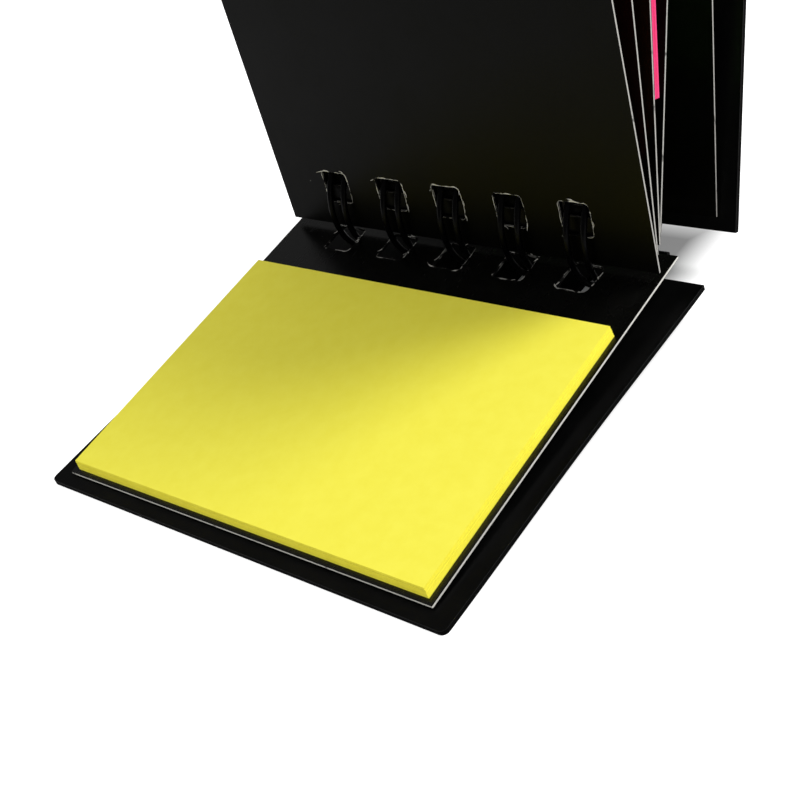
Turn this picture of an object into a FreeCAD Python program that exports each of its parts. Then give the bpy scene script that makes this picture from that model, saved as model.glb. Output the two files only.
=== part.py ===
"""Wire-bound booklet of stiff card leaves, each with a pad of sticky notes, standing open.

The binding wire runs along X at the rear. The booklet lies open at its last leaf, which slopes
down towards the viewer (-Y) over the back cover. The other leaves and the front cover stand on
the wire behind it, fanned out. Everything stands on the plane Z = 0. Lengths are in millimetres
and angles in degrees.
"""
import FreeCAD, Part
import math
import os
from FreeCAD import Vector

# Card leaves
LEAF_WIDTH = 78.0             # along the binding
LEAF_DEPTH = 70.4             # from the binding edge to the free edge
LEAF_THICKNESS = 0.5
LEAF_SLOT_MARGIN = 4.8        # from the binding edge to the slots
LEAF_SLOT_HEIGHT = 6.0

# Covers
COVER_WIDTH = 85.0
COVER_DEPTH = 72.4
COVER_THICKNESS = 0.9
COVER_CORNER_RADIUS = 1.1     # at the two free corners
COVER_SLOT_MARGIN = 2.3
COVER_SLOT_HEIGHT = 9.2
BACK_COVER_SIDE_SHIFT = 0.35  # the covers sit a little to either side on the wire
FRONT_COVER_SIDE_SHIFT = -0.35
BACK_COVER_TURN_ANGLE = 0.25  # the back cover lies askew, its +X side further forward

# Slots and the twin-loop wire that runs through them
LOOP_COUNT = 5
LOOP_PITCH = 12.7
WIRE_DIAMETER = 1.1
WIRE_PAIR_PITCH = 3.3         # centre to centre of the two wires of one loop
SLOT_SIDE_CLEARANCE = 0.5     # from the outer wire's side to the slot's side
SLOT_CORNER_RADIUS = 0.5
RING_RADIUS = 11.6            # of the wire's centre line round the loops
SPINE_ANGLE = 296.0           # where the loops join each other, low at the rear
SPINE_BEND_RADIUS = 1.3
SPINE_STUB = 2.0              # cut end of the wire beside the outer loops
TIP_GAP = 0.4                 # free space between a loop's tip and the spine

# Pads of notes
PAD_WIDTH = 75.5
PAD_DEPTH = 51.0
NARROW_PAD_DEPTH = 38.0
PAD_THICKNESS = 1.3
OPEN_PAD_THICKNESS = 1.5
PAD_FREE_MARGIN = 1.4         # from the leaf's free edge to the pad
NARROW_PAD_FREE_MARGIN = 10.3
PAD_SIDE_SHIFT = -0.45        # the pads sit a little towards -X on their leaves
PAD_LEAN_ACROSS = 0.6         # how far the stack of notes has sheared over its thickness
PAD_LEAN_ALONG = 0.5

# Where the wire meets the two lying pieces: the angle round the ring, counted from +Y
# towards +Z, and the distance from the piece's binding edge
BACK_COVER_RING_ANGLE = 222.5
BACK_COVER_REACH = 3.75
OPEN_LEAF_RING_ANGLE = 197.3
OPEN_LEAF_REACH = 6.4
OPEN_LEAF_GAP = 0.3           # under the open leaf's front edge, above the back cover

# Space left over each pad or card when the booklet is closed
STACK_GAP = 0.12

# Between the binding edge of a standing piece and the piece in front of it
LEAF_EDGE_GAP = 0.12
COVER_EDGE_GAP = 0.4

# The standing pieces, front to rear. Two have their own lean from the floor and their own place
# round the ring, and each other one leans back by a fan angle from the piece in front of it.
# reach goes from the binding edge to the wire as the piece stands, closed_reach when it lies
# closed, and side is how far the piece sits to one side
STANDING = {
    "leaf_1": dict(lean_angle=87.0, ring_angle=147.0, reach=8.2, closed_reach=6.8, side=0.0),
    "leaf_2": dict(behind="leaf_1", fan_angle=6.5, reach=7.5, closed_reach=7.0, side=-0.25),
    "leaf_3": dict(behind="leaf_2", fan_angle=5.9, reach=7.7, closed_reach=7.0, side=-0.1),
    "leaf_4": dict(behind="leaf_3", fan_angle=7.4, reach=7.7, closed_reach=6.8, side=-0.3),
    "inner_leaf": dict(lean_angle=74.4, ring_angle=28.4, reach=9.3, closed_reach=6.2, side=0.1),
    "front_cover": dict(behind="inner_leaf", fan_angle=5.6, reach=9.5, closed_reach=6.5,
                        side=FRONT_COVER_SIDE_SHIFT),
}

# Colour of the pad on the far side of each standing leaf
PAD_OF_LEAF = {"leaf_1": "red", "leaf_2": "orange", "leaf_3": "pink", "leaf_4": "green"}
NARROW_PADS = ("pink",)
RIGHT_FLUSH_PADS = ("pink",)  # flush with the leaf's +X edge instead of shifted to -X

WIRE_RADIUS = WIRE_DIAMETER / 2
SLOT_WIDTH = WIRE_PAIR_PITCH + WIRE_DIAMETER + 2 * SLOT_SIDE_CLEARANCE
RING_CENTRE = Vector(0, 0, RING_RADIUS + WIRE_RADIUS)
LOOP_PLACES = [(i - (LOOP_COUNT - 1) / 2) * LOOP_PITCH for i in range(LOOP_COUNT)]


def along(angle):
    """Unit vector in the YZ plane, turned from +Y towards +Z."""
    return Vector(0, math.cos(math.radians(angle)), math.sin(math.radians(angle)))


def across(angle):
    """Unit vector square to along(angle), a quarter turn further on."""
    return along(angle + 90)


def ring_point(angle, x=0.0):
    return RING_CENTRE + along(angle) * RING_RADIUS + Vector(x, 0, 0)


def slot_cutter(x, margin, height, thickness):
    """Rectangular slot with small round corners, through a plate."""
    corner = Vector(x - SLOT_WIDTH / 2, margin, -1.5 * thickness)
    slot = Part.makeBox(SLOT_WIDTH, height, 3 * thickness, corner)
    upright = [e for e in slot.Edges if abs(e.tangentAt(e.FirstParameter).z) > 0.99]
    return slot.makeFillet(SLOT_CORNER_RADIUS, upright)


def plate(width, depth, thickness, margin, height, corner_radius=0.0, slot_shift=0.0):
    """Flat plate with its binding edge on Y = 0 and its middle plane on Z = 0."""
    sheet = Part.makeBox(width, depth, thickness, Vector(-width / 2, 0, -thickness / 2))
    if corner_radius:
        corners = [e for e in sheet.Edges
                   if abs(e.tangentAt(e.FirstParameter).z) > 0.99 and e.CenterOfMass.y > depth / 2]
        sheet = sheet.makeFillet(corner_radius, corners)
    slots = [slot_cutter(x + slot_shift, margin, height, thickness) for x in LOOP_PLACES]
    return sheet.cut(slots)


def leaf_card(side=0.0):
    """Card leaf. Its slots stay on the loops when the leaf sits a little to one side."""
    return plate(LEAF_WIDTH, LEAF_DEPTH, LEAF_THICKNESS, LEAF_SLOT_MARGIN, LEAF_SLOT_HEIGHT, slot_shift=-side)


def cover_board():
    return plate(COVER_WIDTH, COVER_DEPTH, COVER_THICKNESS, COVER_SLOT_MARGIN, COVER_SLOT_HEIGHT,
                 COVER_CORNER_RADIUS)


def note_pad(depth, thickness, free_margin, centre_x, lean=(0.0, 0.0)):
    """Stack of notes glued to a leaf's -Z side. lean moves its lowest note against the top one."""
    far = LEAF_DEPTH - free_margin
    near = far - depth
    half = PAD_WIDTH / 2
    corners = [(-half, near), (half, near), (half, far), (-half, far)]
    top = -LEAF_THICKNESS / 2 - thickness
    outline = Part.makePolygon([Vector(centre_x + x, y, top) for x, y in corners + corners[:1]])
    return Part.Face(outline).extrude(Vector(lean[0], lean[1], thickness))


def placed(shape, edge, angle, side=0.0, turn=0.0):
    """Turns a flat piece up to its angle and sets the middle of its binding edge on a point.

    turn sets it askew in its own plane first.
    """
    result = shape.copy()
    result.rotate(Vector(0, 0, 0), Vector(0, 0, 1), turn)
    result.rotate(Vector(0, 0, 0), Vector(1, 0, 0), angle)
    result.translate(edge + Vector(side, 0, 0))
    return result


def drop_angle(height, length, half_thickness):
    """Slope at which a plate's lower corner, at length from a point, comes down by height."""
    reach = math.hypot(length, half_thickness)
    return math.degrees(math.asin(height / reach) - math.atan2(half_thickness, length))


def back_cover_pose():
    """The cover hangs on the wire and its front edge lies on the floor."""
    wire = ring_point(BACK_COVER_RING_ANGLE)
    turn = math.radians(BACK_COVER_TURN_ANGLE)
    front = COVER_DEPTH * math.cos(turn) + COVER_WIDTH / 2 * math.sin(turn)
    slope = drop_angle(wire.z, front - BACK_COVER_REACH, COVER_THICKNESS / 2)
    angle = 180 + slope
    return wire - along(angle) * BACK_COVER_REACH, angle


def open_leaf_pose():
    """The leaf hangs on the wire and its front edge lies just above the back cover."""
    cover_edge, cover_angle = back_cover_pose()
    wire = ring_point(OPEN_LEAF_RING_ANGLE)
    height = -across(cover_angle).dot(wire - cover_edge) - COVER_THICKNESS / 2 - OPEN_LEAF_GAP
    slope = drop_angle(height, LEAF_DEPTH - OPEN_LEAF_REACH, LEAF_THICKNESS / 2)
    angle = cover_angle + slope
    return wire - along(angle) * OPEN_LEAF_REACH, angle


def standing_pose(name):
    """Middle of the piece's binding edge, and the piece's lean from the floor."""
    spot = STANDING[name]
    if "behind" not in spot:
        lean, ring = spot["lean_angle"], spot["ring_angle"]
    else:
        front_edge, front_lean = standing_pose(spot["behind"])
        lean = front_lean - spot["fan_angle"]
        if name == "front_cover":
            ring = ring_behind_edge(front_edge, lean)
        else:
            ring = ring_behind_face(front_edge, front_lean, lean, spot["reach"])
    return ring_point(ring) - along(lean) * spot["reach"], lean


def ring_behind_edge(front_edge, lean):
    """Where the wire meets the cover, whose face clears the inner leaf's binding edge."""
    distance = COVER_THICKNESS / 2 + COVER_EDGE_GAP + LEAF_THICKNESS / 2
    level = (across(lean).dot(front_edge - RING_CENTRE) - distance) / RING_RADIUS
    return lean + 90 - math.degrees(math.acos(level))


def ring_behind_face(front_edge, front_lean, lean, reach):
    """Where the wire meets a leaf whose binding edge clears the back of the leaf in front."""
    distance = LEAF_THICKNESS + LEAF_EDGE_GAP
    offset = across(front_lean).dot(front_edge - RING_CENTRE + along(lean) * reach) - distance
    return front_lean + 90 - math.degrees(math.acos(offset / RING_RADIUS))


def closed_poses():
    """Where each standing piece lies when the booklet is closed, stacked on the open leaf."""
    edge, angle = open_leaf_pose()
    offset = across(angle).dot(edge - RING_CENTRE)
    height = LEAF_THICKNESS / 2 + OPEN_PAD_THICKNESS + STACK_GAP
    poses = {}
    for name, spot in STANDING.items():
        thickness = COVER_THICKNESS if name == "front_cover" else LEAF_THICKNESS
        level = offset - height - thickness / 2
        reach = math.sqrt(RING_RADIUS ** 2 - level ** 2) - spot["closed_reach"]
        poses[name] = (RING_CENTRE + across(angle) * level + along(angle) * reach, angle)
        height += thickness + (PAD_THICKNESS if name in PAD_OF_LEAF else 0) + STACK_GAP
    return poses


def hinge_of(name):
    """Pivot line and angle that carry a standing piece to where it lies closed."""
    start, start_angle = standing_pose(name)
    end, end_angle = closed_poses()[name]
    turn = end_angle - start_angle
    step = end - start
    beside = Vector(0, -step.z, step.y)
    return (start + end) * 0.5 + beside * (0.5 / math.tan(math.radians(turn / 2))), turn


def quarter_bend(start, first, second, radius):
    """Quarter arc that leaves start along first and ends running along second."""
    ahead = radius * math.sin(math.pi / 4)
    middle = start + first * ahead + second * (radius - ahead)
    end = start + (first + second) * radius
    return Part.Arc(start, middle, end).toShape(), end


def binding_wire():
    """One wire: along the spine, round each loop to its tip and back, and on to the next loop."""
    def degrees(length):
        return math.degrees(length / RING_RADIUS)

    right = Vector(1, 0, 0)
    root_angle = SPINE_ANGLE + degrees(SPINE_BEND_RADIUS)
    tip_angle = SPINE_ANGLE + 360 - degrees(WIRE_DIAMETER + TIP_GAP + WIRE_PAIR_PITCH / 2)
    mean_angle = (root_angle + tip_angle) / 2
    towards_spine = across(root_angle) * -1
    towards_tip = across(tip_angle)
    tip_radius = WIRE_PAIR_PITCH / 2
    edges = []
    place = None
    for x in LOOP_PLACES:
        left_root = ring_point(root_angle, x - tip_radius)
        right_root = ring_point(root_angle, x + tip_radius)
        left_tip = ring_point(tip_angle, x - tip_radius)
        right_tip = ring_point(tip_angle, x + tip_radius)
        bend_start = left_root + (towards_spine - right) * SPINE_BEND_RADIUS
        if place is None:
            place = bend_start - right * SPINE_STUB
        edges.append(Part.LineSegment(place, bend_start).toShape())
        bend, _ = quarter_bend(left_root, towards_spine, right * -1, SPINE_BEND_RADIUS)
        edges.append(bend)
        edges.append(Part.Arc(left_root, ring_point(mean_angle, x - tip_radius), left_tip).toShape())
        apex = (left_tip + right_tip) * 0.5 + towards_tip * tip_radius
        edges.append(Part.Arc(left_tip, apex, right_tip).toShape())
        edges.append(Part.Arc(right_tip, ring_point(mean_angle, x + tip_radius), right_root).toShape())
        bend, place = quarter_bend(right_root, towards_spine, right, SPINE_BEND_RADIUS)
        edges.append(bend)
    edges.append(Part.LineSegment(place, place + right * SPINE_STUB).toShape())
    path = Part.Wire(Part.__sortEdges__(edges))
    start = edges[0].valueAt(edges[0].FirstParameter)
    section = Part.Wire(Part.Circle(start, right, WIRE_RADIUS).toShape())
    wire = path.makePipeShell([section], True, True)
    section_times_length = math.pi * WIRE_RADIUS ** 2 * path.Length
    print("wire volume %.2f, section times length %.2f" % (wire.Volume, section_times_length))
    return wire


def pad_of(colour):
    narrow = colour in NARROW_PADS
    depth = NARROW_PAD_DEPTH if narrow else PAD_DEPTH
    margin = NARROW_PAD_FREE_MARGIN if narrow else PAD_FREE_MARGIN
    centre = (LEAF_WIDTH - PAD_WIDTH) / 2 if colour in RIGHT_FLUSH_PADS else PAD_SIDE_SHIFT
    return note_pad(depth, PAD_THICKNESS, margin, centre)


def build():
    nodes = {"binding_wire": binding_wire()}
    edge, angle = back_cover_pose()
    nodes["back_cover"] = placed(cover_board(), edge, angle, BACK_COVER_SIDE_SHIFT, BACK_COVER_TURN_ANGLE)
    edge, angle = open_leaf_pose()
    nodes["leaf_5_card"] = placed(leaf_card(), edge, angle)
    open_pad = note_pad(PAD_DEPTH, OPEN_PAD_THICKNESS, PAD_FREE_MARGIN, PAD_SIDE_SHIFT,
                        (PAD_LEAN_ACROSS, PAD_LEAN_ALONG))
    nodes["leaf_5_pad_yellow"] = placed(open_pad, edge, angle)
    for name, spot in STANDING.items():
        edge, angle = standing_pose(name)
        if name == "front_cover":
            nodes[name] = placed(cover_board(), edge, angle, spot["side"])
            continue
        nodes[name + "_card"] = placed(leaf_card(spot["side"]), edge, angle, spot["side"])
        if name in PAD_OF_LEAF:
            colour = PAD_OF_LEAF[name]
            nodes[name + "_pad_" + colour] = placed(pad_of(colour), edge, angle, spot["side"])
    return nodes


def main():
    nodes = build()
    box = FreeCAD.BoundBox()
    for shape in nodes.values():
        box.add(shape.optimalBoundingBox(True, False))
    origin = Vector(box.Center.x, box.Center.y, 0)
    os.makedirs("parts", exist_ok=True)
    for name, shape in nodes.items():
        shape.translate(origin * -1)
        shape.exportStep("parts/" + name + ".step")
    print("size %.2f %.2f %.2f, lowest %.4f" % (box.XLength, box.YLength, box.ZLength, box.ZMin))
    print("ring centre", tuple(RING_CENTRE - origin))
    print("open leaf", tuple(open_leaf_pose()[0] - origin), open_leaf_pose()[1])
    print("back cover", tuple(back_cover_pose()[0] - origin), back_cover_pose()[1])
    for name in STANDING:
        pivot, turn = hinge_of(name)
        print("hinge", name, "%.4f %.4f" % (pivot.y - origin.y, pivot.z), "turn %.3f" % turn)


main()
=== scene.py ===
import math
import random

import bmesh
import bpy
from mathutils import Matrix, Vector, noise
from mathutils.geometry import delaunay_2d_cdt


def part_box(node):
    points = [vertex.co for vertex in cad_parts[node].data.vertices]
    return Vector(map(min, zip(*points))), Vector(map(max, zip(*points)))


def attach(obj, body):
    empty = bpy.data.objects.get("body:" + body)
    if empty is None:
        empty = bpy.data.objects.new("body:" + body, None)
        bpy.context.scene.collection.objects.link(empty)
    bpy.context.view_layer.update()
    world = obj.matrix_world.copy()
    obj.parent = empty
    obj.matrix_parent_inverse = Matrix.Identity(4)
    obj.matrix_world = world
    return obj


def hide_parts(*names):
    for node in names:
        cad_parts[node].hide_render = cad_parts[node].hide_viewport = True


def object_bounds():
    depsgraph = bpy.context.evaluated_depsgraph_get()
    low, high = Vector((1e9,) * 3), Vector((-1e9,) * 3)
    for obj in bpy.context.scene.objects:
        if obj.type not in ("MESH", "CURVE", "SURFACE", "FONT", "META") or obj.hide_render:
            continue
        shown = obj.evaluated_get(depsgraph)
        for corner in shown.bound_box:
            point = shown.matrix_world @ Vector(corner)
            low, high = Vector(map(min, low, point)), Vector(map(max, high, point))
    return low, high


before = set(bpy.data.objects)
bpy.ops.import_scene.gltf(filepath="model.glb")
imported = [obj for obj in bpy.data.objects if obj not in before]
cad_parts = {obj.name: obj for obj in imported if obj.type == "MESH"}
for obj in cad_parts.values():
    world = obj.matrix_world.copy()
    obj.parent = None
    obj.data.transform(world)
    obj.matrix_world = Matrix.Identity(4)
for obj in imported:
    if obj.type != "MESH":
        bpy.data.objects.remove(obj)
cad_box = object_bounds()

MM = 0.001

# Slots, as on the CAD plates
LOOP_COUNT = 5
LOOP_PITCH = 12.7 * MM
SLOT_WIDTH = 5.4 * MM
SLOT_CORNER_RADIUS = 0.5 * MM
LEAF_SLOT_MARGIN = 4.8 * MM
LEAF_SLOT_HEIGHT = 6.0 * MM
COVER_SLOT_MARGIN = 2.3 * MM
COVER_SLOT_HEIGHT = 9.2 * MM
COVER_CORNER_RADIUS = 1.1 * MM

# Wire
WIRE_RADIUS = 0.55 * MM
WIRE_PAIR_PITCH = 3.3 * MM
SPINE_ANGLE = 296.0
SPINE_BEND_RADIUS = 1.3 * MM
SPINE_STUB = 2.0 * MM
TIP_GAP = 0.4 * MM

# Card: a white core between two thin black facings
FACING = 0.06 * MM
STANDING_FACING = 0.10 * MM   # of the standing leaves, whose cores show thinner
CARD_WAVE = 0.05 * MM         # how far the gentle waviness lifts a card
CARD_WAVE_SCALE = 22          # of its noise, per metre
BACK_COVER_BOW = 0.45 * MM

# Torn rims of the slots, at their widest
OPEN_LEAF_TEAR = 0.30 * MM
STANDING_TEAR = 0.28 * MM
COVER_TEAR = 0.05 * MM

# Loose fibres beside the slots
FRAY = 0.05 * MM              # thickness, and height of the root's underside above the start
FRAY_TIP = 0.012 * MM         # half the width that is left at the tip
FRAY_ROOT = 0.06 * MM         # depth of the start below the card's face
FRAY_STEPS = 7

# Meshes
MESH_STEP = 3.0 * MM
OUTLINE_STEP = 1.5 * MM
SLOT_STEP = 0.35 * MM
SLOT_BORDER = 0.8 * MM        # round each slot, kept clear of the plate's even points
CORNER_STEPS = 6
SLOT_CORNER_STEPS = 3
LOOP_STEPS = 90
TIP_STEPS = 12
SPINE_BEND_STEPS = 8
MERGE_DISTANCE = 1e-7
LEVEL_TOLERANCE = 0.01 * MM
SHARP_ANGLE = math.radians(30)

# Places of a card's materials in its list
FACE_INDEX, CUT_INDEX, RIM_INDEX, WALL_INDEX = range(4)

# One sheet of a pad
NOTE_PITCH = 0.1 * MM
NOTE_SHARE = 0.93             # of the pitch that is paper
NOTE_SCATTER = 0.05 * MM
NOTE_TURN = 0.03              # degrees
NOTE_LIFT = 0.05 * MM
NOTE_ROUGHNESS = 0.015 * MM   # of its cut edges
NOTE_ROUGHNESS_SCALE = 160    # of its noise, per metre
NOTE_COLUMNS = 16
NOTE_ROWS = 12

STANDING_LEAVES = {"leaf_1": "red", "leaf_2": "orange", "leaf_3": "pink", "leaf_4": "green"}
FRONT_LEAF = "leaf_1"

# Camera, in the open leaf's frame: origin at its front left corner, X along the binding, Y towards
# the binding, Z up from its top face
CAMERA_PLACE = Vector((180.915, -63.940, 134.312)) * MM
CAMERA_RIGHT = Vector((0.757746, 0.551175, -0.349324))
CAMERA_DOWN = Vector((0.194633, -0.701854, -0.685214))
CAMERA_FORWARD = Vector((-0.622847, 0.451229, -0.639104))
CAMERA_LENS = 61.25
SENSOR_WIDTH = 36.0

WHITE = (1.0, 1.0, 1.0, 1.0)

# Glow that the floor adds to its lit colour, to the camera and in reflections
FLOOR_GLOW = 0.70
FLOOR_GLOW_MIRRORED = 0.12

# Strength of the white surroundings as light, and the share of it that reflections show. The
# camera sees them at full strength.
AMBIENT = 0.68
AMBIENT_MIRRORED = 0.22

# Floor: its lit colour, and the darker grey patch painted as shadow under the binding, with how far
# from the loops' centre the painted shadow begins to fade and where it ends
FLOOR_COLOUR = (0.84, 0.84, 0.84, 1.0)
PAINTED_SHADOW_FLOOR_COLOUR = (0.30, 0.30, 0.30, 1.0)
PAINTED_SHADOW_ALONG_Y = (12 * MM, 26 * MM)
PAINTED_SHADOW_ALONG_X = (30 * MM, 38 * MM)
FLOOR_REACH = 3.0

# Key light, from the middle of the booklet
KEY_PLACE = Vector((0.37, 0.395, 0.52))
KEY_SIZE = 0.27
KEY_POWER = 3.7


def linear(red, green, blue):
    """Linear colour of a display colour given in 0 to 255."""
    def channel(value):
        value /= 255
        return value / 12.92 if value <= 0.04045 else ((value + 0.055) / 1.055) ** 2.4
    return channel(red), channel(green), channel(blue), 1.0


def scaled(colour, factor):
    return tuple(channel * factor for channel in colour[:3]) + (1.0,)


# Frames of the CAD pieces

def ring_frame():
    """Centre of the wire's loops and the radius of the wire's centre line."""
    low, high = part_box("binding_wire")
    centre = (low + high) / 2
    return centre, (high.y - low.y) / 2 - WIRE_RADIUS


RING_CENTRE, RING_RADIUS = ring_frame()


class Plate:
    """A flat CAD node: the middle of its binding edge, its axes and its sizes.

    u runs along the binding, v from the binding edge to the free edge and w is square to both.
    """

    def __init__(self, node):
        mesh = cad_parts[node].data
        points = [vertex.co.copy() for vertex in mesh.vertices]
        normal = max(mesh.polygons, key=lambda polygon: polygon.area).normal.copy()
        middle = sum(points, Vector()) / len(points)
        v = normal.cross(Vector((1, 0, 0))).normalized()
        if v.dot(middle - RING_CENTRE) < 0:
            v = -v
        left = max(points, key=lambda p: -p.x - p.dot(v))
        right = max(points, key=lambda p: p.x - p.dot(v))
        u = right - left
        u = (u - normal * u.dot(normal)).normalized()
        w = u.cross(v).normalized()
        self.u, self.v, self.w = u, w.cross(u), w
        heights = [p.dot(w) for p in points]
        self.thickness = max(heights) - min(heights)
        across = [p.dot(self.u) for p in points]
        self.width = max(across) - min(across)
        lengths = [p.dot(self.v) for p in points]
        self.depth = max(lengths) - min(lengths)
        self.origin = (self.u * (max(across) + min(across)) / 2 + self.v * min(lengths)
                       + self.w * (max(heights) + min(heights)) / 2)

    def point(self, x, y, z=0.0):
        return self.origin + self.u * x + self.v * y + self.w * z

    def local(self, point):
        step = point - self.origin
        return Vector((step.dot(self.u), step.dot(self.v), step.dot(self.w)))

    def loops(self, centre=0.0):
        """Where the slots lie along u, when the middle one is at centre."""
        first = centre - (LOOP_COUNT - 1) / 2 * LOOP_PITCH
        return [first + i * LOOP_PITCH for i in range(LOOP_COUNT)]


# Materials

class NodeTree:
    """Adds nodes to a node tree and links them."""

    def __init__(self, tree):
        self.tree = tree

    def add(self, kind, **values):
        node = self.tree.nodes.new(kind)
        for key, value in values.items():
            setattr(node, key, value)
        return node

    def link(self, source, target):
        self.tree.links.new(source, target)

    def ramp(self, source, low, high, start=0.0, end=1.0):
        """Maps source from low..high to start..end and clamps it."""
        node = self.add("ShaderNodeMapRange")
        for key, value in (("From Min", low), ("From Max", high), ("To Min", start), ("To Max", end)):
            node.inputs[key].default_value = value
        self.link(source, node.inputs["Value"])
        return node.outputs["Result"]

    def maths(self, operation, first, second=0.0):
        node = self.add("ShaderNodeMath", operation=operation)
        for socket, value in zip(node.inputs, (first, second)):
            if isinstance(value, float):
                socket.default_value = value
            else:
                self.link(value, socket)
        return node.outputs["Value"]

    def mix(self, factor, first, second):
        node = self.add("ShaderNodeMix", data_type="RGBA")
        self.link(factor, node.inputs["Factor"])
        for socket, value in ((node.inputs["A"], first), (node.inputs["B"], second)):
            if isinstance(value, tuple):
                socket.default_value = value
            else:
                self.link(value, socket)
        return node.outputs["Result"]


class MaterialNodes(NodeTree):
    """Node tree of a new material, with its shader and the object's own coordinates."""

    def __init__(self, name):
        self.material = bpy.data.materials.new(name)
        self.material.use_nodes = True
        super().__init__(self.material.node_tree)
        self.shader = self.tree.nodes["Principled BSDF"]
        self.place = self.add("ShaderNodeTexCoord").outputs["Object"]

    def noise(self, scale, detail, roughness, stretch=None):
        texture = self.add("ShaderNodeTexNoise")
        texture.inputs["Scale"].default_value = scale
        texture.inputs["Detail"].default_value = detail
        texture.inputs["Roughness"].default_value = roughness
        place = self.place
        if stretch:
            mapping = self.add("ShaderNodeMapping")
            mapping.inputs["Scale"].default_value = stretch
            self.link(place, mapping.inputs["Vector"])
            place = mapping.outputs["Vector"]
        self.link(place, texture.inputs["Vector"])
        return texture.outputs["Fac"]

    def cells(self, scale):
        texture = self.add("ShaderNodeTexVoronoi")
        texture.inputs["Scale"].default_value = scale
        self.link(self.place, texture.inputs["Vector"])
        return texture.outputs["Distance"], texture.outputs["Color"]

    def bump(self, height, distance, strength):
        node = self.add("ShaderNodeBump")
        node.inputs["Distance"].default_value = distance
        node.inputs["Strength"].default_value = strength
        self.link(height, node.inputs["Height"])
        return node.outputs["Normal"]


def black_card_material(name, base, roughness, gloss):
    """Black laminated card: fine tooth, faint cloudy gloss and a few specks of lint."""
    nodes = MaterialNodes(name)
    tooth = nodes.noise(scale=5200.0, detail=3.0, roughness=0.6)
    clouds = nodes.noise(scale=95.0, detail=5.0, roughness=0.6)
    scuffs = nodes.noise(scale=900.0, detail=6.0, roughness=0.7, stretch=(1.0, 0.25, 0.25))
    colour = nodes.mix(nodes.ramp(clouds, 0.35, 0.65), scaled(base, 0.72), scaled(base, 1.35))
    colour = nodes.mix(nodes.ramp(scuffs, 0.62, 0.80, end=0.5), colour, scaled(base, 2.6))
    distance, pick = nodes.cells(260.0)
    spot = nodes.ramp(distance, 0.022, 0.034, start=1.0, end=0.0)
    chosen = nodes.ramp(pick, 0.80, 0.82)
    colour = nodes.mix(nodes.maths("MULTIPLY", spot, chosen), colour, linear(120, 120, 116))
    nodes.link(colour, nodes.shader.inputs["Base Color"])
    spread = nodes.ramp(clouds, 0.3, 0.7, start=roughness - 0.06, end=roughness + 0.06)
    spread = nodes.maths("ADD", spread, nodes.ramp(scuffs, 0.55, 0.8, end=0.12))
    nodes.link(spread, nodes.shader.inputs["Roughness"])
    nodes.link(nodes.bump(tooth, distance=0.03 * MM, strength=0.55), nodes.shader.inputs["Normal"])
    nodes.shader.inputs["Specular IOR Level"].default_value = gloss
    return nodes.material


def core_material(name, bright, dirty, nick_scale, nick_level, nick_cover):
    """Cut or torn edge of white board: fibrous, with nicks where the facing smeared over it."""
    nodes = MaterialNodes(name)
    fibres = nodes.noise(scale=2600.0, detail=5.0, roughness=0.7)
    stains = nodes.noise(scale=nick_scale, detail=4.0, roughness=0.6)
    colour = nodes.mix(nodes.ramp(fibres, 0.3, 0.7), scaled(bright, 0.78), bright)
    nicks = nodes.ramp(stains, nick_level, nick_level + 0.05, end=nick_cover)
    colour = nodes.mix(nicks, colour, dirty)
    nodes.link(colour, nodes.shader.inputs["Base Color"])
    nodes.link(nodes.bump(fibres, distance=0.06 * MM, strength=0.8), nodes.shader.inputs["Normal"])
    nodes.shader.inputs["Roughness"].default_value = 0.88
    nodes.shader.inputs["Specular IOR Level"].default_value = 0.25
    return nodes.material


def note_material(name, base):
    """Uncoated dyed paper: soft mottle, fine fibres and a felt-like tooth."""
    nodes = MaterialNodes(name)
    cloud = nodes.noise(scale=420.0, detail=4.0, roughness=0.6)
    fleck = nodes.noise(scale=2400.0, detail=4.0, roughness=0.65)
    grain = nodes.noise(scale=5200.0, detail=3.0, roughness=0.6, stretch=(1.0, 0.45, 1.0))
    deep = (base[0] * 0.985, base[1] * 0.975, base[2] * 0.90, 1.0)
    pale = (min(base[0] * 1.02, 1.0), min(base[1] * 1.02, 1.0), min(base[2] * 1.15, 1.0), 1.0)
    colour = nodes.mix(nodes.ramp(cloud, 0.3, 0.7), deep, pale)
    colour = nodes.mix(nodes.ramp(fleck, 0.60, 0.78, end=0.35), colour, deep)
    nodes.link(colour, nodes.shader.inputs["Base Color"])
    nodes.link(nodes.ramp(fleck, 0.3, 0.7, start=0.72, end=0.88), nodes.shader.inputs["Roughness"])
    nodes.link(nodes.bump(grain, distance=0.03 * MM, strength=0.5), nodes.shader.inputs["Normal"])
    nodes.shader.inputs["Specular IOR Level"].default_value = 0.5
    return nodes.material


def wire_material():
    """Black enamel on steel wire: glossy, with a slight orange peel and dulled rub marks."""
    nodes = MaterialNodes("black_enamel")
    peel = nodes.noise(scale=1500.0, detail=2.0, roughness=0.5)
    rub = nodes.noise(scale=420.0, detail=5.0, roughness=0.7)
    colour = nodes.mix(nodes.ramp(rub, 0.62, 0.74), linear(2, 2, 3), linear(9, 9, 10))
    nodes.link(colour, nodes.shader.inputs["Base Color"])
    nodes.link(nodes.ramp(rub, 0.4, 0.75, start=0.22, end=0.45), nodes.shader.inputs["Roughness"])
    nodes.link(nodes.bump(peel, distance=0.02 * MM, strength=0.35), nodes.shader.inputs["Normal"])
    nodes.shader.inputs["Specular IOR Level"].default_value = 0.07
    return nodes.material


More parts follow.
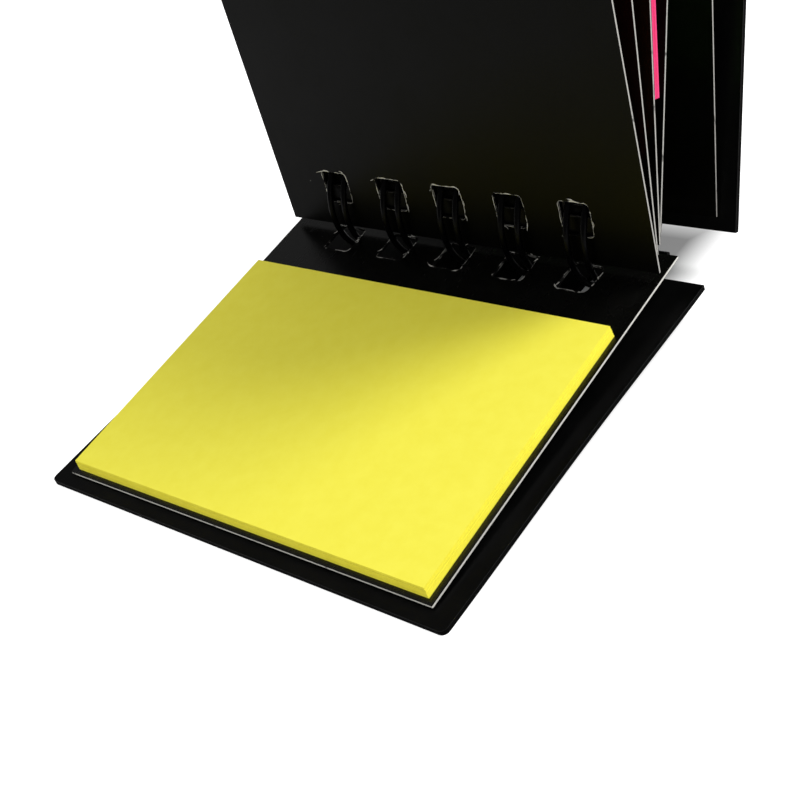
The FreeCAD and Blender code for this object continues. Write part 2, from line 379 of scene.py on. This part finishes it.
LEAF_BLACK = black_card_material("leaf_black", linear(3, 3, 2), roughness=0.36, gloss=0.07)
OPEN_LEAF_BLACK = black_card_material("open_leaf_black", linear(5, 5, 4), roughness=0.24, gloss=0.50)
COVER_BLACK = black_card_material("cover_black", linear(5, 5, 5), roughness=0.36, gloss=0.13)
COVER_EDGE = black_card_material("cover_edge_black", linear(3, 3, 3), roughness=0.60, gloss=0.02)
# One white board core: the open leaf's cut edge below has its full colour, and the copies after it are
# darker as painted shade.
OPEN_CORE = core_material("open_leaf_core", linear(242, 240, 232), linear(92, 90, 86),
                          nick_scale=260.0, nick_level=0.63, nick_cover=0.85)
# Painted shade: the core dimmed on the standing leaves' cut edges.
SHADED_CORE = core_material("board_core_painted_shade", linear(196, 194, 188), linear(70, 69, 66),
                     nick_scale=260.0, nick_level=0.60, nick_cover=0.85)
# Painted shade: the core dimmed on leaf 1's torn rims and on the fibres.
SHADED_TORN_CORE = core_material("torn_core_painted_shade", linear(196, 194, 187), linear(20, 20, 18),
                     nick_scale=420.0, nick_level=0.52, nick_cover=1.0)
# Painted shade: the core darkened on leaf 1's slot walls.
SHADED_SLOT_WALL = core_material("slot_wall", linear(130, 129, 124), linear(8, 8, 8),
                          nick_scale=420.0, nick_level=0.45, nick_cover=1.0)
# Painted shade: the core darkened on the open leaf's torn rims.
SHADED_OPEN_RIM = core_material("open_leaf_rim_painted_shade", linear(150, 149, 144), linear(9, 9, 8),
                         nick_scale=620.0, nick_level=0.45, nick_cover=1.0)
# Painted shade: the core darkened on the open leaf's slot walls.
SHADED_OPEN_WALL = core_material("open_leaf_slot_wall", linear(110, 109, 105), linear(7, 7, 6),
                          nick_scale=620.0, nick_level=0.42, nick_cover=1.0)
# Painted shade: the core darkened to grey on the rear leaves' rims and slot walls.
SHADED_REAR_RIM = core_material("rear_leaf_rim_painted_shade", linear(62, 61, 58), linear(7, 7, 7),
                         nick_scale=420.0, nick_level=0.46, nick_cover=1.0)

# Faces, cut edges, torn rims and walls of the slots
OPEN_LEAF_LOOK = (OPEN_LEAF_BLACK, OPEN_CORE, SHADED_OPEN_RIM, SHADED_OPEN_WALL)
FRONT_LEAF_LOOK = (LEAF_BLACK, SHADED_CORE, SHADED_TORN_CORE, SHADED_SLOT_WALL)
REAR_LEAF_LOOK = (LEAF_BLACK, SHADED_CORE, SHADED_REAR_RIM, SHADED_REAR_RIM)
COVER_LOOK = (COVER_BLACK, COVER_EDGE, COVER_EDGE, COVER_EDGE)

NOTE_COLOURS = {
    "yellow": linear(252, 243, 72),
    "red": linear(226, 62, 58),
    "orange": linear(250, 128, 36),
    "pink": linear(250, 62, 128),
    "green": linear(128, 214, 70),
}


# Flat card meshes

def seeded(name):
    return random.Random("sticky " + name)


def rounded_outline(width, depth, radius, step):
    """Outline of a plate, anticlockwise from its binding edge, with its two free corners rounded."""
    half = width / 2
    corners = [(-half, 0.0), (half, 0.0)]
    if radius:
        for x, start in ((half - radius, 0.0), (radius - half, 90.0)):
            for i in range(CORNER_STEPS + 1):
                turn = math.radians(start + 90.0 / CORNER_STEPS * i)
                corners.append((x + radius * math.cos(turn), depth - radius + radius * math.sin(turn)))
    else:
        corners.extend([(half, depth), (-half, depth)])
    points = []
    for first, second in zip(corners, corners[1:] + corners[:1]):
        count = max(1, round(math.dist(first, second) / step))
        for i in range(count):
            share = i / count
            points.append(Vector((first[0] + (second[0] - first[0]) * share,
                                  first[1] + (second[1] - first[1]) * share)))
    return points


def slot_outline(width, height, radius, step):
    """Rounded rectangle about the origin: points and outward directions."""
    points = []
    centres = [(1, 1, 0), (-1, 1, 90), (-1, -1, 180), (1, -1, 270)]
    corners = []
    for sx, sy, start in centres:
        for i in range(SLOT_CORNER_STEPS + 1):
            turn = math.radians(start + 90.0 / SLOT_CORNER_STEPS * i)
            corners.append((sx * (width / 2 - radius) + radius * math.cos(turn),
                            sy * (height / 2 - radius) + radius * math.sin(turn),
                            math.cos(turn), math.sin(turn)))
    for first, second in zip(corners, corners[1:] + corners[:1]):
        count = max(1, round(math.dist(first[:2], second[:2]) / step))
        for i in range(count):
            share = i / count
            place = Vector([a + (b - a) * share for a, b in zip(first[:2], second[:2])])
            outward = Vector([a + (b - a) * share for a, b in zip(first[2:], second[2:])])
            points.append((place, outward.normalized()))
    return points


def torn_slot(centre, height, rng, tear):
    """Hole and torn rim of one slot, with its +X side rubbed outwards.

    tear is the width of bared core at its widest, which is towards the free edge.
    """
    hole, rim = [], []
    seed = rng.uniform(0, 100)
    bulge = rng.uniform(0.25, 0.6) * MM

    def wobble(place, per_mm, shift):
        return noise.noise(Vector((place.x / MM * per_mm, place.y / MM * per_mm, seed + shift)))

    for place, outward in slot_outline(SLOT_WIDTH, height, SLOT_CORNER_RADIUS, SLOT_STEP):
        fine = wobble(place, 3.1, 7)
        grow = 0.10 * max(0.0, wobble(place, 0.9, 0)) + 0.06 * abs(fine)
        side = max(0.0, outward.x) * max(0.0, math.cos(place.y / height * 2.2))
        point = place + outward * (grow * MM) + Vector((bulge * side, 0))
        upper = 0.35 + 0.65 * max(outward.y, abs(outward.x) * 0.8 * (0.5 + place.y / height))
        patchy = 0.5 + 1.1 * wobble(place, 0.7, 31)
        width = tear * max(0.12, upper * max(0.0, patchy) + 0.25 * fine)
        hole.append(centre + point)
        rim.append(centre + point + outward * width)
    return hole, rim


def inside(point, polygon):
    result = False
    for first, second in zip(polygon, polygon[1:] + polygon[:1]):
        if (first.y > point.y) != (second.y > point.y):
            if point.x < (second.x - first.x) * (point.y - first.y) / (second.y - first.y) + first.x:
                result = not result
    return result


def within(point, low, high):
    return low.x < point.x < high.x and low.y < point.y < high.y


def grid_points(plate, keep_out):
    """Evenly spread points inside a plate, away from its slots."""
    points = []
    columns = round(plate.width / MESH_STEP)
    rows = round(plate.depth / MESH_STEP)
    for i in range(1, columns):
        for j in range(1, rows):
            point = Vector((-plate.width / 2 + plate.width * i / columns, plate.depth * j / rows))
            if not any(within(point, *box) for box in keep_out):
                points.append(point)
    return points


def borders(slots):
    """Lowest and highest corner of the border round each slot."""
    margin = Vector((SLOT_BORDER, SLOT_BORDER))
    result = []
    for _, rim in slots:
        low = Vector((min(p.x for p in rim), min(p.y for p in rim))) - margin
        high = Vector((max(p.x for p in rim), max(p.y for p in rim))) + margin
        result.append((low, high))
    return result


def cut_sheet(plate, slots, radius, keep_out):
    """Flat points and triangles of a plate with its holes, and whether each triangle is torn."""
    outline = rounded_outline(plate.width, plate.depth, radius, OUTLINE_STEP)
    points, edges = [], []
    for loop in [outline] + [part for slot in slots for part in slot]:
        first = len(points)
        points.extend(loop)
        edges.extend((first + i, first + (i + 1) % len(loop)) for i in range(len(loop)))
    points.extend(grid_points(plate, keep_out))
    flat, _, triangles, _, _, _ = delaunay_2d_cdt(points, edges, [], 0, MERGE_DISTANCE)
    kept = []
    for triangle in triangles:
        centre = sum((flat[i] for i in triangle), Vector((0, 0))) / 3
        if any(inside(centre, hole) for hole, _ in slots):
            continue
        torn = any(inside(centre, rim) for _, rim in slots)
        kept.append((tuple(triangle), torn))
    return flat, kept


def open_edges(triangles):
    """Edges that only one of the triangles has, in its own direction."""
    edges = {}
    for triangle in triangles:
        for a, b in zip(triangle, triangle[1:] + triangle[:1]):
            if (b, a) in edges:
                del edges[(b, a)]
            else:
                edges[(a, b)] = True
    return edges


def card_object(name, plate, slots, radius, materials, facing, warp):
    """Solid card with holes.

    materials are those of the faces, the cut edges, the torn rims and the walls of the slots.
    """
    keep_out = borders(slots)
    flat, kept = cut_sheet(plate, slots, radius, keep_out)
    rims = open_edges([triangle for triangle, _ in kept])
    in_slot = {i for i, point in enumerate(flat) if any(within(point, *box) for box in keep_out)}
    used = sorted({i for triangle, _ in kept for i in triangle})
    border = {i for edge in rims for i in edge}
    half = plate.thickness / 2
    mesh = bmesh.new()
    levels = []
    for depth, height in enumerate((half, half - facing, facing - half, -half)):
        level = {}
        for i in used:
            if depth in (0, 3) or i in border:
                lift = warp(flat[i].x, flat[i].y)
                level[i] = mesh.verts.new(plate.point(flat[i].x, flat[i].y, height + lift))
        levels.append(level)
    for triangle, torn in kept:
        a, b, c = triangle
        for level, order in ((levels[0], (a, b, c)), (levels[3], (c, b, a))):
            face = mesh.faces.new([level[i] for i in order])
            face.material_index = RIM_INDEX if torn else FACE_INDEX
            face.smooth = True
    for a, b in rims:
        for depth in range(3):
            upper, lower = levels[depth], levels[depth + 1]
            face = mesh.faces.new([upper[b], upper[a], lower[a], lower[b]])
            wall = WALL_INDEX if a in in_slot else CUT_INDEX
            face.material_index = wall if depth == 1 else FACE_INDEX
    mesh.normal_update()
    return mesh_object(name, mesh, materials)


def mesh_object(name, mesh, materials):
    """Object made of a bmesh, with its corners over SHARP_ANGLE kept crisp."""
    for edge in mesh.edges:
        edge.smooth = len(edge.link_faces) == 2 and edge.calc_face_angle(0.0) < SHARP_ANGLE
    data = bpy.data.meshes.new(name)
    mesh.to_mesh(data)
    mesh.free()
    for material in materials:
        data.materials.append(material)
    thing = bpy.data.objects.new(name, data)
    bpy.context.scene.collection.objects.link(thing)
    return thing


def leaf_slots(plate, name, tear):
    rng = seeded(name)
    middle = LEAF_SLOT_MARGIN + LEAF_SLOT_HEIGHT / 2
    return [torn_slot(Vector((x, middle)), LEAF_SLOT_HEIGHT, rng, tear)
            for x in plate.loops(plate.local(RING_CENTRE).x)]


def cover_slots(plate, name):
    rng = seeded(name)
    middle = COVER_SLOT_MARGIN + COVER_SLOT_HEIGHT / 2
    return [torn_slot(Vector((x, middle)), COVER_SLOT_HEIGHT, rng, COVER_TEAR) for x in plate.loops()]


def gentle_warp(name, depth):
    """Slow waviness of a card, still at its binding edge."""
    shift = seeded(name).uniform(0, 50)

    def warp(x, y):
        share = min(1.0, max(0.0, y / depth))
        place = Vector((x * CARD_WAVE_SCALE, y * CARD_WAVE_SCALE, shift))
        return CARD_WAVE * share * noise.noise(place)
    return warp


def add_leaf(node, body, materials, tear=STANDING_TEAR, facing=STANDING_FACING):
    plate = Plate(node)
    slots = leaf_slots(plate, node, tear)
    warp = gentle_warp(node, plate.depth)
    leaf = card_object("blk_" + node, plate, slots, 0.0, materials, facing, warp)
    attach(leaf, body)
    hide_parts(node)
    return plate, slots


def back_cover_warp(plate):
    """The lying cover is bowed: its free corners stay down and its +X side lifts in the middle."""
    def warp(x, y):
        across = max(0.0, x / (plate.width / 2)) ** 2
        length = math.sin(math.pi * min(1.0, max(0.0, y / plate.depth))) ** 2
        return -BACK_COVER_BOW * across * length
    return warp


def add_cover(node, body, warp_of):
    plate = Plate(node)
    slots = cover_slots(plate, node)
    cover = card_object("board_" + node, plate, slots, COVER_CORNER_RADIUS, COVER_LOOK, FACING,
                        warp_of(plate))
    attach(cover, body)
    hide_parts(node)


# Pads of notes

def pad_extents(node, plate):
    """Lowest and highest corner of a pad's first and last note, in its leaf's frame."""
    points = [plate.local(v.co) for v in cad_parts[node].data.vertices]
    top = min(p.z for p in points)
    bottom = max(p.z for p in points)
    ends = []
    for level in (top, bottom):
        near = [p for p in points if abs(p.z - level) < LEVEL_TOLERANCE]
        ends.append((Vector((min(p.x for p in near), min(p.y for p in near), level)),
                     Vector((max(p.x for p in near), max(p.y for p in near), level))))
    return ends


def note_layer(mesh, plate, low, high, turn, level, lift, seed):
    """Corners of one face of a sheet, wavy by a hair towards its free edge."""
    middle = (low + high) / 2
    layer = []
    for j in range(NOTE_ROWS + 1):
        for i in range(NOTE_COLUMNS + 1):
            x = low.x + (high.x - low.x) * i / NOTE_COLUMNS - middle.x
            y = low.y + (high.y - low.y) * j / NOTE_ROWS - middle.y
            free = (j / NOTE_ROWS) ** 3
            wave = noise.noise(Vector((i * 0.23, j * 0.2, seed))) * free
            rough = Vector((x * NOTE_ROUGHNESS_SCALE, y * NOTE_ROUGHNESS_SCALE, seed + 5))
            edge = noise.noise(rough) * NOTE_ROUGHNESS
            px = middle.x + x * math.cos(turn) - y * math.sin(turn) + edge
            py = middle.y + x * math.sin(turn) + y * math.cos(turn) + edge
            layer.append(mesh.verts.new(plate.point(px, py, low.z + level - lift * abs(wave))))
    return layer


def note_sheet(mesh, plate, low, high, turn, thickness, lift, seed):
    """One sheet of paper as a thin closed box."""
    lower, upper = [note_layer(mesh, plate, low, high, turn, level, lift, seed)
                    for level in (0.0, thickness)]
    wide = NOTE_COLUMNS + 1

    def quad(corners, flip, smooth):
        face = mesh.faces.new(list(reversed(corners)) if flip else corners)
        face.smooth = smooth

    def wall(a, b, flip):
        quad([lower[a], lower[b], upper[b], upper[a]], flip, False)

    for layer, flip in ((lower, True), (upper, False)):
        for j in range(NOTE_ROWS):
            for i in range(NOTE_COLUMNS):
                a = j * wide + i
                quad([layer[a], layer[a + 1], layer[a + 1 + wide], layer[a + wide]], flip, True)
    for i in range(NOTE_COLUMNS):
        a = NOTE_ROWS * wide + i
        wall(i, i + 1, False)
        wall(a, a + 1, True)
    for j in range(NOTE_ROWS):
        a = j * wide
        wall(a, a + wide, True)
        wall(a + NOTE_COLUMNS, a + NOTE_COLUMNS + wide, False)


def add_pad(node, plate, body, colour):
    (top_low, top_high), (bottom_low, bottom_high) = pad_extents(node, plate)
    total = bottom_low.z - top_low.z
    count = round(total / NOTE_PITCH)
    pitch = total / count
    rng = seeded(node)
    mesh = bmesh.new()
    for i in range(count):
        share = i / (count - 1)
        shift = Vector((rng.uniform(-1, 1), rng.uniform(-1, 0.6), 0)) * NOTE_SCATTER
        low = top_low.lerp(bottom_low, share) + shift
        high = top_high.lerp(bottom_high, share) + shift
        low.z = high.z = top_low.z + pitch * i + pitch * (1 - NOTE_SHARE)
        turn = math.radians(rng.uniform(-NOTE_TURN, NOTE_TURN))
        note_sheet(mesh, plate, low, high, turn, pitch * NOTE_SHARE, NOTE_LIFT * (1 - share),
                   rng.uniform(0, 90))
    mesh.normal_update()
    pad = mesh_object("notes_" + node, mesh, [note_material("paper_" + colour, NOTE_COLOURS[colour])])
    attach(pad, body)
    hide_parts(node)


# Wire

def ring_point(angle, x):
    turn = math.radians(angle)
    return RING_CENTRE + Vector((x, RING_RADIUS * math.cos(turn), RING_RADIUS * math.sin(turn)))


def wire_route():
    """Points of the wire's centre line, bend by bend."""
    def degrees(length):
        return math.degrees(length / RING_RADIUS)

    root = SPINE_ANGLE + degrees(SPINE_BEND_RADIUS)
    tip = SPINE_ANGLE + 360 - degrees(2 * WIRE_RADIUS + TIP_GAP + WIRE_PAIR_PITCH / 2)
    half = WIRE_PAIR_PITCH / 2
    places = [(i - (LOOP_COUNT - 1) / 2) * LOOP_PITCH for i in range(LOOP_COUNT)]
    points = []
    for x in places:
        points.extend(spine_bend(x - half, root, -1))
        points.extend(ring_point(root + (tip - root) * i / LOOP_STEPS, x - half)
                      for i in range(LOOP_STEPS + 1))
        for i in range(1, TIP_STEPS):
            turn = math.pi * i / TIP_STEPS
            points.append(ring_point(tip + degrees(half * math.sin(turn)), x - half * math.cos(turn)))
        points.extend(ring_point(tip + (root - tip) * i / LOOP_STEPS, x + half)
                      for i in range(LOOP_STEPS + 1))
        points.extend(reversed(spine_bend(x + half, root, 1)))
    first = points[0] - Vector((SPINE_STUB, 0, 0))
    last = points[-1] + Vector((SPINE_STUB, 0, 0))
    return [first] + points + [last]


def spine_bend(x, root, side):
    """Quarter bend from the spine into a loop, from the spine's end."""
    points = []
    start = ring_point(root, x)
    turn = math.radians(root)
    towards_spine = Vector((0, math.sin(turn), -math.cos(turn)))
    for i in range(SPINE_BEND_STEPS):
        angle = math.radians(90 * i / SPINE_BEND_STEPS)
        points.append(start + Vector((side * SPINE_BEND_RADIUS * (1 - math.sin(angle)), 0, 0))
                      + towards_spine * (SPINE_BEND_RADIUS * math.cos(angle)))
    return points


def add_wire():
    curve = bpy.data.curves.new("binding_loops", "CURVE")
    curve.dimensions = "3D"
    curve.bevel_depth = WIRE_RADIUS
    curve.bevel_resolution = 4
    curve.use_fill_caps = True
    points = wire_route()
    spline = curve.splines.new("POLY")
    spline.points.add(len(points) - 1)
    for target, point in zip(spline.points, points):
        target.co = (*point, 1.0)
    spline.use_smooth = True
    curve.materials.append(wire_material())
    wire = bpy.data.objects.new("binding_loops", curve)
    bpy.context.scene.collection.objects.link(wire)
    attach(wire, "base")
    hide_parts("binding_wire")


# Torn fibres beside the slots

def sliver(mesh, start, along, across, out, length, width, curl):
    """Tapered, curled strip of board fibre that lifts off the card towards its tip."""
    rows = []
    for i in range(FRAY_STEPS + 1):
        share = i / FRAY_STEPS
        half = width * (1 - share) ** 0.7 / 2 + FRAY_TIP
        middle = (start + along * (length * share) + across * (curl * math.sin(share * 2.4) * length)
                  + out * (FRAY + 0.28 * length * share ** 1.6))
        rows.append([mesh.verts.new(middle + across * (half * sx) + out * (FRAY * sz))
                     for sx, sz in ((-1, 0), (1, 0), (1, 1), (-1, 1))])
    for first, second in zip(rows, rows[1:]):
        for i in range(4):
            j = (i + 1) % 4
            mesh.faces.new([first[i], first[j], second[j], second[i]])
    mesh.faces.new(list(reversed(rows[0])))
    mesh.faces.new(rows[-1])


def add_fibres(name, plate, slots, body, side, count):
    """Slivers round a leaf's slots, on the side of its face that side names (+1 for w)."""
    rng = seeded(name)
    mesh = bmesh.new()
    out = plate.w * side
    half = plate.thickness / 2
    for hole, rim in slots:
        for _ in range(count):
            i = rng.randrange(len(rim))
            flat = rim[i]
            outward = (rim[i] - hole[i]).normalized()
            start = plate.point(flat.x, flat.y) + out * (half - FRAY_ROOT)
            spread = plate.u * outward.x + plate.v * outward.y
            tangent = spread.cross(out).normalized() * rng.choice((-1, 1))
            along = (tangent + spread * rng.uniform(-0.2, 0.5)).normalized()
            across = along.cross(out).normalized()
            sliver(mesh, start, along, across, out, rng.uniform(0.5, 1.4) * MM,
                   rng.uniform(0.08, 0.22) * MM, rng.uniform(-0.25, 0.25))
    bmesh.ops.recalc_face_normals(mesh, faces=mesh.faces)
    fibres = mesh_object(name, mesh, [SHADED_TORN_CORE])
    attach(fibres, body)


# Stage

def painted_shadow_mask(nodes):
    """Mask of the shadow painted on the floor: 0 beneath the binding, rising to 1 around it."""
    split = nodes.add("ShaderNodeSeparateXYZ")
    nodes.link(nodes.place, split.inputs["Vector"])

    def away(axis, centre):
        return nodes.maths("ABSOLUTE", nodes.maths("SUBTRACT", split.outputs[axis], centre))

    return nodes.maths("MAXIMUM", nodes.ramp(away("Y", RING_CENTRE.y), *PAINTED_SHADOW_ALONG_Y),
                       nodes.ramp(away("X", RING_CENTRE.x), *PAINTED_SHADOW_ALONG_X))


def add_floor():
    """Pale floor that reads as white and keeps the booklet's shadow, with a shadow painted beneath the
    binding.
    """
    mesh = bmesh.new()
    bmesh.ops.create_grid(mesh, x_segments=1, y_segments=1, size=FLOOR_REACH)
    nodes = MaterialNodes("studio_floor")
    nodes.shader.inputs["Roughness"].default_value = 0.95
    nodes.shader.inputs["Specular IOR Level"].default_value = 0.0
    nodes.shader.inputs["Emission Color"].default_value = WHITE
    path = nodes.add("ShaderNodeLightPath")
    mirrored = nodes.maths("MAXIMUM", path.outputs["Is Glossy Ray"], path.outputs["Is Transmission Ray"])
    mirrored = nodes.maths("MULTIPLY", mirrored, FLOOR_GLOW_MIRRORED)
    seen = nodes.maths("MULTIPLY", path.outputs["Is Camera Ray"], FLOOR_GLOW)
    # Painted shadow: beneath the binding the floor's colour turns dark grey and its glow is taken away.
    outside_painted_shadow = painted_shadow_mask(nodes)
    glow = nodes.maths("MULTIPLY", nodes.maths("MAXIMUM", seen, mirrored), outside_painted_shadow)
    nodes.link(glow, nodes.shader.inputs["Emission Strength"])
    nodes.link(nodes.mix(outside_painted_shadow, PAINTED_SHADOW_FLOOR_COLOUR, FLOOR_COLOUR), nodes.shader.inputs["Base Color"])
    floor = mesh_object("studio_floor", mesh, [nodes.material])


def add_world():
    """White surroundings, dimmer as light than to the camera and dimmer still in reflections."""
    world = bpy.data.worlds.new("studio")
    bpy.context.scene.world = world
    world.use_nodes = True
    nodes = NodeTree(world.node_tree)
    background = nodes.tree.nodes["Background"]
    background.inputs["Color"].default_value = WHITE
    path = nodes.add("ShaderNodeLightPath")
    seen = nodes.maths("MAXIMUM", path.outputs["Is Camera Ray"], path.outputs["Is Transmission Ray"])
    strength = nodes.ramp(seen, 0.0, 1.0, start=AMBIENT, end=1.0)
    mirrored = nodes.ramp(path.outputs["Is Glossy Ray"], 0.0, 1.0, start=1.0, end=AMBIENT_MIRRORED)
    nodes.link(nodes.maths("MULTIPLY", strength, mirrored), background.inputs["Strength"])


def add_key_light(target):
    """Disk lamp above, behind and to the right of target, aimed at it."""
    light = bpy.data.lights.new("key", "AREA")
    light.shape = "DISK"
    light.size = KEY_SIZE
    light.energy = KEY_POWER
    lamp = bpy.data.objects.new("key", light)
    lamp.location = target + KEY_PLACE
    lamp.rotation_mode = "QUATERNION"
    lamp.rotation_quaternion = (target - lamp.location).to_track_quat("-Z", "Y")
    bpy.context.scene.collection.objects.link(lamp)


def add_camera(leaf):
    """Camera where the photo was taken from, held to the open leaf."""
    corner = leaf.point(-leaf.width / 2, leaf.depth, -leaf.thickness / 2)

    def turned(vector):
        return leaf.u * vector.x - leaf.v * vector.y - leaf.w * vector.z

    rows = Matrix((turned(CAMERA_RIGHT), -turned(CAMERA_DOWN), -turned(CAMERA_FORWARD)))
    camera = bpy.data.cameras.new("camera")
    camera.lens = CAMERA_LENS
    camera.sensor_width = SENSOR_WIDTH
    camera.clip_start = 0.01
    camera.clip_end = 20.0
    thing = bpy.data.objects.new("camera", camera)
    thing.matrix_world = Matrix.Translation(corner + turned(CAMERA_PLACE)) @ rows.transposed().to_4x4()
    bpy.context.scene.collection.objects.link(thing)
    bpy.context.scene.camera = thing


open_leaf, open_slots = add_leaf("leaf_5_card", "base", OPEN_LEAF_LOOK, OPEN_LEAF_TEAR, FACING)
add_fibres("leaf_5_fibres", open_leaf, open_slots, "base", side=-1, count=7)
add_pad("leaf_5_pad_yellow", open_leaf, "base", "yellow")
for leaf_name, pad_colour in STANDING_LEAVES.items():
    look = FRONT_LEAF_LOOK if leaf_name == FRONT_LEAF else REAR_LEAF_LOOK
    standing, standing_slots = add_leaf(leaf_name + "_card", leaf_name, look)
    add_pad(leaf_name + "_pad_" + pad_colour, standing, leaf_name, pad_colour)
    if leaf_name == FRONT_LEAF:
        add_fibres("leaf_1_fibres", standing, standing_slots, "leaf_1", side=1, count=4)
add_leaf("inner_leaf_card", "inner_leaf", REAR_LEAF_LOOK)
add_cover("back_cover", "base", back_cover_warp)
add_cover("front_cover", "front_cover", lambda plate: gentle_warp("front_cover", plate.depth))
add_wire()

add_floor()
add_world()
add_key_light((cad_box[0] + cad_box[1]) / 2)
add_camera(open_leaf)
bpy.context.scene.view_settings.view_transform = "Standard"
